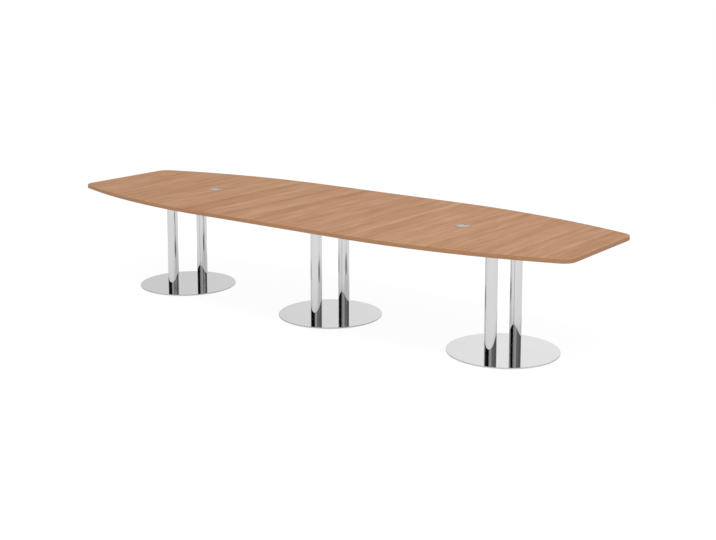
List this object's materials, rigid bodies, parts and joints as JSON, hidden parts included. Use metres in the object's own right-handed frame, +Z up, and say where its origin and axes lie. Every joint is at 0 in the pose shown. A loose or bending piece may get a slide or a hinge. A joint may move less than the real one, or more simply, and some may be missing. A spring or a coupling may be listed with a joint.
{
  "type": "conference table",
  "caption": "Long boat-shaped conference table: wood-decor top with lift-out cable grommet lids, on chromed column pedestals with round bases and levelling glides.",
  "frame": {"origin": "on the floor, under the middle of the top", "axes": "+X along the table, +Y across it, +Z up"},
  "size_m": [4, 1.3, 0.7483],
  "materials": {
    "top_decor": "satin melamine wood decor",
    "edge_band": "wood-coloured edge band",
    "dowel_wood": "plain beech",
    "chrome": "mirror",
    "bare_steel": "plain plate",
    "black_paint": "satin black",
    "zinc_screw": "zinc plated",
    "glide_plastic": "matte",
    "grommet_silver": "silver, satin"
  },
  "bodies": {
    "root": {"top_panel_left": "top_decor", "top_panel_right": "top_decor", "top_panel_middle": "top_decor", "edge_band_left": "edge_band", "edge_band_right": "edge_band", "edge_band_front": "edge_band", "edge_band_back": "edge_band", "joint_dowel_left_front": "dowel_wood", "joint_rail_left_front": "black_paint", "joint_dowel_left_back": "dowel_wood", "joint_rail_left_back": "black_paint", "joint_dowel_right_front": "dowel_wood", "joint_rail_right_front": "black_paint", "joint_dowel_right_back": "dowel_wood", "joint_rail_right_back": "black_paint", "base_cover_left": "chrome", "base_weight_left": "bare_steel", "head_plate_left": "black_paint", "column_left_front": "chrome", "base_screw_left_front": "zinc_screw", "head_screw_left_front": "zinc_screw", "column_left_back": "chrome", "base_screw_left_back": "zinc_screw", "head_screw_left_back": "zinc_screw", "base_cover_middle": "chrome", "base_weight_middle": "bare_steel", "head_plate_middle": "black_paint", "column_middle_front": "chrome", "base_screw_middle_front": "zinc_screw", "head_screw_middle_front": "zinc_screw", "column_middle_back": "chrome", "base_screw_middle_back": "zinc_screw", "head_screw_middle_back": "zinc_screw", "base_cover_right": "chrome", "base_weight_right": "bare_steel", "head_plate_right": "black_paint", "column_right_front": "chrome", "base_screw_right_front": "zinc_screw", "head_screw_right_front": "zinc_screw", "column_right_back": "chrome", "base_screw_right_back": "zinc_screw", "head_screw_right_back": "zinc_screw", "grommet_sleeve_left": "grommet_silver", "grommet_sleeve_right": "grommet_silver"},
    "glide_left_1": {"glide_left_1": "glide_plastic"},
    "glide_left_2": {"glide_left_2": "glide_plastic"},
    "glide_left_3": {"glide_left_3": "glide_plastic"},
    "glide_left_4": {"glide_left_4": "glide_plastic"},
    "glide_middle_1": {"glide_middle_1": "glide_plastic"},
    "glide_middle_2": {"glide_middle_2": "glide_plastic"},
    "glide_middle_3": {"glide_middle_3": "glide_plastic"},
    "glide_middle_4": {"glide_middle_4": "glide_plastic"},
    "glide_right_1": {"glide_right_1": "glide_plastic"},
    "glide_right_2": {"glide_right_2": "glide_plastic"},
    "glide_right_3": {"glide_right_3": "glide_plastic"},
    "glide_right_4": {"glide_right_4": "glide_plastic"},
    "grommet_lid_left": {"grommet_lid_left": "grommet_silver"},
    "grommet_lid_right": {"grommet_lid_right": "grommet_silver"}
  },
  "joints": [
    {"name": "glide_left_1_screw", "type": "slide", "parent": "root", "child": "glide_left_1", "axis": [0, 0, -1], "range_m": [0, 0.003]},
    {"name": "glide_left_2_screw", "type": "slide", "parent": "root", "child": "glide_left_2", "axis": [0, 0, -1], "range_m": [0, 0.003]},
    {"name": "glide_left_3_screw", "type": "slide", "parent": "root", "child": "glide_left_3", "axis": [0, 0, -1], "range_m": [0, 0.003]},
    {"name": "glide_left_4_screw", "type": "slide", "parent": "root", "child": "glide_left_4", "axis": [0, 0, -1], "range_m": [0, 0.003]},
    {"name": "glide_middle_1_screw", "type": "slide", "parent": "root", "child": "glide_middle_1", "axis": [0, 0, -1], "range_m": [0, 0.003]},
    {"name": "glide_middle_2_screw", "type": "slide", "parent": "root", "child": "glide_middle_2", "axis": [0, 0, -1], "range_m": [0, 0.003]},
    {"name": "glide_middle_3_screw", "type": "slide", "parent": "root", "child": "glide_middle_3", "axis": [0, 0, -1], "range_m": [0, 0.003]},
    {"name": "glide_middle_4_screw", "type": "slide", "parent": "root", "child": "glide_middle_4", "axis": [0, 0, -1], "range_m": [0, 0.003]},
    {"name": "glide_right_1_screw", "type": "slide", "parent": "root", "child": "glide_right_1", "axis": [0, 0, -1], "range_m": [0, 0.003]},
    {"name": "glide_right_2_screw", "type": "slide", "parent": "root", "child": "glide_right_2", "axis": [0, 0, -1], "range_m": [0, 0.003]},
    {"name": "glide_right_3_screw", "type": "slide", "parent": "root", "child": "glide_right_3", "axis": [0, 0, -1], "range_m": [0, 0.003]},
    {"name": "glide_right_4_screw", "type": "slide", "parent": "root", "child": "glide_right_4", "axis": [0, 0, -1], "range_m": [0, 0.003]},
    {"name": "grommet_lid_left_lift", "type": "slide", "parent": "root", "child": "grommet_lid_left", "axis": [0, 0, 1], "range_m": [0, 0.04]},
    {"name": "grommet_lid_right_lift", "type": "slide", "parent": "root", "child": "grommet_lid_right", "axis": [0, 0, 1], "range_m": [0, 0.04]}
  ]
}
